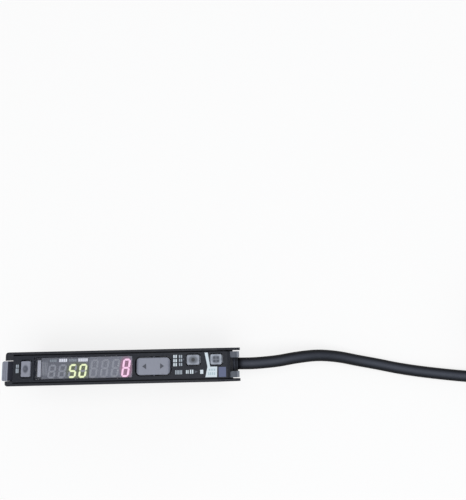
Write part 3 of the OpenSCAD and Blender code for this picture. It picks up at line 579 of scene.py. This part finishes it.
LEVER_PALE, SHADED_BACK_HALF, DIMPLE_SHADE_HALF = 1.75, 2.5, 0.42
lever_x, lever_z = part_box("lock_lever")[0][0] / MM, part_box("lock_lever")[1][2] / MM
# painted shade on the lever's steep back, which starts LEVER_PALE behind its tip
shaded_back_middle = (lever_x + LEVER_PALE + FULL_TO * SHADED_BACK_HALF, 0, lever_z)
shaded_back_half = (SHADED_BACK_HALF, WIDE, WIDE)
finishes["key_plastic"] = key_finish("grey key plastic")
finish_of |= {
    "lock_lever": tinted(key_finish("lever plastic"), shaded_back_middle, shaded_back_half, linear(74, 76, 88), 0.84),
    # painted shade in the sunk middles of the three small keys
    "set_button": middle_shaded_key("set", (138, 141, 154), (0.6, 0.9), (88, 91, 103)),
    "mode_button": middle_shaded_key("mode", (152, 158, 170), (1.1, 0.9), (98, 104, 114)),
    "preset_button": middle_shaded_key("preset", (162, 169, 181), (1.0, 1.0), (124, 130, 142)),
}
mode_middle = middle_and_half("mode_button")[0]
# painted shade, darker still, in the mode key's dimple
tinted(finish_of["mode_button"], mode_middle, (DIMPLE_SHADE_HALF, DIMPLE_SHADE_HALF, WIDE), linear(26, 29, 36))
print("nodes with a finish of their own:", len(finish_of))

# %% [markdown]
# The face panel is nearly black. Its two hinge ears get a painted highlight, with a still brighter painted
# highlight on their rounded tips. Three soft spots do it: one about each ear, and a narrow one across both
# tips.

# %% Face panel
EAR_Y, EAR_Z = 3.3, 27.5
EAR_HIGHLIGHT_HALF, TIP_HIGHLIGHT_HALF = (3.7, 2.2, 2.2), (0.7, WIDE, 2.2)
ear_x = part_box("face_panel")[1][0] / MM
panel = moulded_finish("face panel plastic", linear(29, 32, 40), 0.5, grain=6000, dust=0.04,
                       Specular_IOR_Level=0.15)
# painted highlight on each hinge ear, and a brighter one across both tips
for side in (EAR_Y, -EAR_Y):
    tinted(panel, (ear_x, side, EAR_Z), EAR_HIGHLIGHT_HALF, linear(98, 103, 113), 0.95)
finishes["panel_plastic"] = tinted(panel, (ear_x, 0, EAR_Z), TIP_HIGHLIGHT_HALF, linear(146, 151, 161), 1.2)
print("the ears end at", round(ear_x, 1), "mm")

# %% [markdown]
# A cable jacket is drawn through a die, so it has faint streaks along its length and a soft, waxy shine.
# The streaks follow the tube's own UV: a noise that is stretched about thirtyfold along the run. The jacket
# is black at the sides and gets a painted highlight of grey on top, mixed in by how far the surface looks up.

# %% Cable jacket
def uv_of(tree):
    """The run along the tube in millimetres and the turn round it, as two sockets."""
    split = tree.nodes.new("ShaderNodeSeparateXYZ")
    tree.links.new(tree.nodes.new("ShaderNodeTexCoord").outputs["UV"], split.inputs[0])
    return split.outputs["X"], split.outputs["Y"]


PER_RUN, PER_TURN = 0.04, 14
TOP_POWER, GLOSS_SPREAD = 6, 0.2


def drawn_jacket(name, painted_highlight_tone, side_tone, roughness):
    """Ridges and roughness: a noise of (PER_RUN * run, PER_TURN * turn).

    Tone: the black side tone mixed towards a painted highlight of grey by the upward part of the normal to
    the power TOP_POWER.
    """
    material = moulded_finish(name, painted_highlight_tone, roughness, grain=3000, drift=150, dust=0.04,
                              Specular_IOR_Level=0.07)
    tree = material.node_tree
    run, around = uv_of(tree)
    spread = tree.nodes.new("ShaderNodeCombineXYZ")
    tree.links.new(add_math(tree, "MULTIPLY", run, PER_RUN), spread.inputs["X"])
    tree.links.new(add_math(tree, "MULTIPLY", around, PER_TURN), spread.inputs["Y"])
    streaks = add_noise(tree, spread.outputs[0], 1, 4)
    shader = shader_of(material)
    base = shader.inputs["Base Color"]
    # painted highlight: the black side tone turns grey where the surface looks up
    top = add_math(tree, "POWER", upward(tree), TOP_POWER)
    tree.links.new(add_mix(tree, top, side_tone, base.links[0].from_socket), base)
    gloss = add_math(tree, "MULTIPLY_ADD", streaks, GLOSS_SPREAD, roughness - GLOSS_SPREAD / 2)
    tree.links.new(gloss, shader.inputs["Roughness"])
    ridges = tree.nodes.new("ShaderNodeBump")
    ridges.inputs["Strength"].default_value = 0.4
    ridges.inputs["Distance"].default_value = 0.03 * MM
    tree.links.new(streaks, ridges.inputs["Height"])
    tree.links.new(shader.inputs["Normal"].links[0].from_socket, ridges.inputs["Normal"])
    tree.links.new(ridges.outputs["Normal"], shader.inputs["Normal"])
    return material


finishes["cable_jacket"] = drawn_jacket("drawn cable jacket", linear(71, 75, 85), linear(9, 10, 14), 0.48)
print("jacket finish:", finishes["cable_jacket"].name)

# %% [markdown]
# Each CAD node takes its own finish, or else the finish of its slot in the record. The node's mesh stays as
# it is: only the material in its slot is changed.

# %% Finishes on the CAD nodes
slot_of = {part["node"]: part["material_slot"] for part in frame["record"]["subparts"]}
for name, node in nodes.items():
    node.data.materials.clear()
    node.data.materials.append(finish_of[name] if name in finish_of else finishes[slot_of[name]])
print("finishes on", len(nodes), "nodes")

# %% [markdown]
# Now the cable can be made. The run, the hank and the tail are joined to one line with even steps, and one
# tube follows it. The tube stands for the plain run and the plain hank of the CAD model.

# %% The cable
def even_steps(line, step):
    """The same line with its points a step apart along its length."""
    run = run_along(line)
    at = np.linspace(0, run[-1], int(round(run[-1] / step)) + 1)
    return np.stack([np.interp(at, run, line[:, axis]) for axis in range(3)], axis=-1)


CABLE_SIDES = 16
cable_line = even_steps(np.vstack([cable_run, hank, tail]), CORD_R)
cable = add_tube("cable", cable_line * MM, CORD_R * MM, CABLE_SIDES, "unit",
                 finishes["cable_jacket"])
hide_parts("cable_run", "cable_hank")
print("cable of", round(run_along(cable_line)[-1] / 1000, 3), "m with", len(cable.data.polygons), "faces")

# %% [markdown]
# The last end is stripped: four thin cores come out side by side, spread on the table and end in copper.
# The copper is a bundle of twisted strands, so its ring has seven lobes that turn as it runs. Each core
# stands for the plain core of the CAD model.

# %% Bare cores
def twisted(path, radius, sides, strands, pitch):
    """Radius of a bundle: radius * (0.88 + 0.12 * cos(strands * (angle + 2 pi * run / pitch)))."""
    run = run_along(path)[:, None, None]
    angle = np.linspace(0, 2 * np.pi, sides, endpoint=False)[None, :, None]
    return radius * (0.88 + 0.12 * np.cos(strands * (angle + 2 * np.pi * run / pitch)))


CORE_R, CORE_Z, CORE_SIDES = 0.55, 0.6, 12
CORE_PITCH, CORE_LIFT, OVERLAP = 0.75, 0.5, 1
LEVEL_RUN, SPREAD_AT, BARED = 2.5, 9, 6
STRAND_R, STRANDS, TWIST_PITCH = 0.35, 7, 9 * MM
STRAND_SIDES, STRAND_POINTS = 42, 36
copper = moulded_finish("copper strands", linear(206, 140, 100), 0.3, depth=0.004, Metallic=1.0)
on_cable = [nodes["hank_tie_near"], nodes["hank_tie_far"]]
for index, colour in enumerate(("brown", "blue", "black", "white")):
    low, high = (np.array(corner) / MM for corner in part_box("lead_" + colour))
    core_y = (low[1] + high[1]) / 2
    inside = TAIL_END + (-OVERLAP, CORE_PITCH * (index - 1.5), CORE_LIFT * (-1) ** index)
    lying_x = (low[0] + SPREAD_AT, high[0] - 2 * BARED, high[0] - BARED)
    lying = np.array([(x, core_y, CORE_Z) for x in lying_x])
    bends = np.vstack([inside, inside + (LEVEL_RUN, 0, 0), lying])
    core_line = even_steps(through(bends, SPAN_STEPS), CORE_R)
    core_line[:, 2] = np.maximum(core_line[:, 2], CORE_Z)
    slot = "core_" + colour
    core = add_tube(slot, core_line * MM, CORE_R * MM, CORE_SIDES, "unit", finishes[slot])
    strand_line = np.linspace(core_line[-1] - (OVERLAP, 0, 0), (high[0], core_y, CORE_Z), STRAND_POINTS) * MM
    bundle_r = twisted(strand_line, STRAND_R * MM, STRAND_SIDES, STRANDS, TWIST_PITCH)
    strands = add_tube("strands_" + colour, strand_line, bundle_r, STRAND_SIDES, "unit", copper)
    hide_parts("lead_" + colour)
    on_cable += [core, strands]
print("pieces on the cable:", [piece.name for piece in on_cable])

# %% [markdown]
# The pieces on the cable are the two hank ties, the four cores and their copper strands.

print("declared with", len(on_cable), "pieces on it")

# %% [markdown]
# CAD edges are knife sharp, and real mouldings have a small radius that catches the light as a thin line.
# Three modifiers give it without touching the CAD mesh: Weld joins the loose triangles, a flat Decimate
# turns them back into whole faces, and Bevel rounds every edge that is sharper than a limit.

# %% Soft moulded edges
EDGE_MM = {"case_shell": 0.16, "side_cover": 0.16, "face_panel": 0.1, "lock_lever": 0.14,
           "display_window": 0.06, "set_button": 0.05, "mode_button": 0.05, "preset_button": 0.05,
           "adjust_rocker": 0.05, "cable_bush": 0.12, "rail_latch": 0.1, "fibre_block": 0.1,
           "hank_tie_near": 0.15, "hank_tie_far": 0.15}
for name, radius in EDGE_MM.items():
    weld = nodes[name].modifiers.new("join triangles", "WELD")
    weld.merge_threshold = 0.002 * MM
    whole = nodes[name].modifiers.new("whole faces", "DECIMATE")
    whole.decimate_type = "DISSOLVE"
    whole.angle_limit = np.radians(1)
    soft = nodes[name].modifiers.new("soft edges", "BEVEL")
    soft.width = radius * MM
    soft.segments = 2
    soft.limit_method = "ANGLE"
    soft.angle_limit = np.radians(32)
    soft.harden_normals = True
print("soft edges on", len(EDGE_MM), "nodes")

# %% [markdown]
# The print on the face becomes plain fields: groups of little bars where the face has legends, a pale
# corner label and a violet field beside it. A field is a quad in plan that stands up by a hair, as thick
# ink does, and all fields of one kind are one piece. The work is done on arrays of shape (fields, corners,
# coordinates).

# %% Inks and fields
INK_T = 0.02


def add_fields(name, quads, z, body, ink, thick=INK_T):
    """Thin prisms over plan quads in mm, counted round from above, standing on the height z."""
    under = np.pad(np.asarray(quads, dtype=float), ((0, 0), (0, 0), (0, 1)), constant_values=z)
    points = np.concatenate([under, under + (0, 0, thick)], axis=1) * MM
    prism = np.array([(3, 2, 1, 0), (4, 5, 6, 7), (0, 1, 5, 4), (1, 2, 6, 5), (2, 3, 7, 6), (3, 0, 4, 7)])
    faces = (prism + 8 * np.arange(len(points))[:, None, None]).reshape(-1, 4).tolist()
    return add_piece(name, points, faces, body, ink)


def field(x0, x1, y0, y1):
    """A plan rectangle."""
    return [(x0, y0), (x1, y0), (x1, y1), (x0, y1)]


def legend(x0, x1, y0, y1, bars):
    """A row of upright bars that fills a rectangle, with a gap of half a bar between them."""
    pitch = (x1 - x0) / (bars - 1 / 3)
    return [field(x0 + i * pitch, x0 + (i + 2 / 3) * pitch, y0, y1) for i in range(bars)]


INK_COLOURS = {"white": (214, 226, 236), "pale": (164, 174, 184), "line": (178, 198, 206),
               "violet": (92, 100, 130), "grey": (76, 81, 91), "dark": (74, 77, 86)}
inks = {name: moulded_finish(name + " ink", linear(*colour), 0.5, depth=0.005, drift=2500,
                             Specular_IOR_Level=0.25) for name, colour in INK_COLOURS.items()}
print("inks:", list(inks))

# %% [markdown]
# The places of the fields were measured in the photograph, in millimetres from the middle of the case.
# Right of the rocker stand two columns and one row of small legends. The label is an upright stroke that
# leans over into a block.

# %% Print on the face
face_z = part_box("face_panel")[1][2] / MM
label = [[(25.35, -0.5), (26.15, -0.5), (25.45, 3.6), (24.55, 3.6)],
         [(24.7, -3.5), (28.1, -3.5), (28.2, -0.5), (25.35, -0.5)]]
label_lines = legend(25.5, 27.6, -2.9, -2.1, 4) + legend(25.7, 27.6, -1.7, -1.1, 3)
bright = [quad for y in (-0.15, 1.0, 2.2) for quad in legend(15.35, 16.4, y, y + 0.9, 2)]
bright += legend(19.05, 19.8, -2.35, -1.35, 2) + legend(20.2, 21.2, -2.4, -1.25, 2)
bright += [field(23.2, 24.1, -2.5, -1.35)]
pale = [quad for y in (-0.1, 1.1, 2.2) for quad in legend(17.0, 17.95, y, y + 0.85, 2)]
pale += legend(15.9, 17.9, -2.5, -1.3, 5)
pale += legend(-30.75, -29.95, -1.1, 0.2, 2) + legend(-30.7, -29.95, 0.4, 1.3, 2)
grey = [field(18.2, 18.5, 1.6, 2.0), [(21.6, -2.3), (22.4, -1.9), (22.4, -1.7), (21.6, -1.5)]]
prints = [add_fields("corner_label", label, face_z, "unit", inks["white"]),
          add_fields("label_lines", label_lines, face_z + INK_T, "unit", inks["line"], INK_T / 2),
          add_fields("white_legends", bright, face_z, "unit", inks["white"]),
          add_fields("pale_legends", pale, face_z, "unit", inks["pale"]),
          add_fields("grey_legends", grey, face_z, "unit", inks["grey"]),
          add_fields("violet_field", [field(28.6, 30.75, -3.5, -0.65)], face_z, "unit", inks["violet"])]
print("printed fields:", {piece.name: len(piece.data.polygons) // 6 for piece in prints})

# %% [markdown]
# Two pairs of small legends stand over the green digits, on the module behind the window: one pair is lit
# and the other is not. The preset key and the rocker have marks of dark ink in their sunk places: four
# blocks and two arrows. Each mark rides on the body of its key and moves with it.

# %% Marks behind the window and on the keys
MARK_DEPTH = 0.12
sunk_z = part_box("preset_button")[1][2] / MM - MARK_DEPTH
module_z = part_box("green_display")[1][2] / MM
lit = legend(-18.45, -16.2, 1.8, 2.7, 4) + legend(-12.8, -10.1, 1.8, 2.7, 5)
unlit = legend(-21.2, -19.3, 1.85, 2.6, 4) + legend(-15.5, -13.4, 1.85, 2.6, 4)


def round_about(node, quads):
    """Plan quads moved to the middle of a node."""
    return np.asarray(quads) + middle_and_half(node)[0][:2]


blocks = [field(x, x + 0.75, y, y + 0.75) for x in (-0.85, 0.1) for y in (-0.85, 0.1)]
arrow = np.array([(2.05, -0.78), (3.15, -0.04), (3.15, 0.04), (2.05, 0.78)])
glow = lit_strokes("lit legends", linear(206, 210, 224))
preset_quads = round_about("preset_button", blocks)
rocker_quads = round_about("adjust_rocker", [arrow, -arrow])
marks = [add_fields("lit_legends", lit, module_z, "unit", glow, 0.1),
         add_fields("unlit_legends", unlit, module_z, "unit", inks["pale"], 0.1),
         add_fields("preset_blocks", preset_quads, sunk_z, "preset_key", inks["grey"]),
         add_fields("rocker_arrows", rocker_quads, sunk_z, "rocker", inks["dark"])]
print("marks:", [piece.name for piece in marks])

# %% [markdown]
# The table is a plain white sheet, a hair below the lowest point of the part. For the light that bounces it
# is an ordinary white surface.

# %% White table
TABLE_HALF, TABLE_MIDDLE = 3.0, (0.08, 0, -0.05 * MM)
table_mesh = bpy.data.meshes.new("table")
table_corners = np.array([(-1, -1, 0), (1, -1, 0), (1, 1, 0), (-1, 1, 0)]) * TABLE_HALF + TABLE_MIDDLE
table_mesh.from_pydata(table_corners.tolist(), [], [(0, 1, 2, 3)])
table = bpy.data.objects.new("table", table_mesh)
white_table = plain_finish("white table", (0.9, 0.9, 0.9, 1), 0.8, Specular_IOR_Level=0.1)
table_mesh.materials.append(white_table)
bpy.context.collection.objects.link(table)
print("table", 2 * TABLE_HALF, "m across")

# %% [markdown]
# For the camera, and in reflections, part of the table's white is its own, as on an overexposed table top,
# so it reads as white and still keeps the object's shadow. A Light Path node tells the two kinds of rays
# apart.

# %% The table's own white
SHADED, OWN = 0.3, 0.74


def seen_directly(tree):
    """1 for camera, glossy and transmission rays, and 0 for the light that bounces."""
    rays = tree.nodes.new("ShaderNodeLightPath").outputs
    return add_math(tree, "MAXIMUM", add_math(tree, "MAXIMUM", rays["Is Camera Ray"], rays["Is Glossy Ray"]),
                    rays["Is Transmission Ray"])


tree = white_table.node_tree
shown, shaded, own, either = (tree.nodes.new("ShaderNode" + kind) for kind in (
    "AddShader", "BsdfDiffuse", "Emission", "MixShader"))
shaded.inputs["Color"].default_value = (SHADED, SHADED, SHADED, 1)
own.inputs["Strength"].default_value = OWN
tree.links.new(shaded.outputs[0], shown.inputs[0])
tree.links.new(own.outputs[0], shown.inputs[1])
tree.links.new(seen_directly(tree), either.inputs["Fac"])
tree.links.new(shader_of(white_table).outputs[0], either.inputs[1])
tree.links.new(shown.outputs[0], either.inputs[2])
tree.links.new(either.outputs[0], tree.nodes["Material Output"].inputs["Surface"])
print("of the table's white", OWN, "is its own")

# %% [markdown]
# One large soft box hangs over the table. It is wide, so the edges of the shadows are soft.

# %% Soft box
lamp_data = bpy.data.lights.new("soft box", "AREA")
lamp_data.shape = "DISK"
lamp_data.size = 0.8
lamp_data.energy = 6.0
lamp = bpy.data.objects.new("soft box", lamp_data)
lamp.location = (0.1, -0.1, 1.0)
lamp.rotation_euler = (np.radians(-5), np.radians(4), 0)
bpy.context.collection.objects.link(lamp)
print("lamp", lamp_data.energy, "W,", round(lamp_data.size, 1), "m across")

# %% [markdown]
# The white room fills the shadows. A black plastic shows mostly what it mirrors, so the room is white where
# it is seen in a reflection too. The Standard view transform shows a colour about as it is written.

# %% White room
FILL = 0.3
world = bpy.data.worlds.new("white room")
world.use_nodes = True
bpy.context.scene.world = world
tree = world.node_tree
fill = tree.nodes["Background"]
fill.inputs["Color"].default_value = (0.95, 0.97, 1.0, 1)
fill.inputs["Strength"].default_value = FILL
white, either = tree.nodes.new("ShaderNodeBackground"), tree.nodes.new("ShaderNodeMixShader")
white.inputs["Color"].default_value = (1, 1, 1, 1)
tree.links.new(seen_directly(tree), either.inputs["Fac"])
tree.links.new(fill.outputs[0], either.inputs[1])
tree.links.new(white.outputs[0], either.inputs[2])
tree.links.new(either.outputs[0], tree.nodes["World Output"].inputs["Surface"])
bpy.context.scene.view_settings.view_transform = "Standard"
print("fill", FILL)
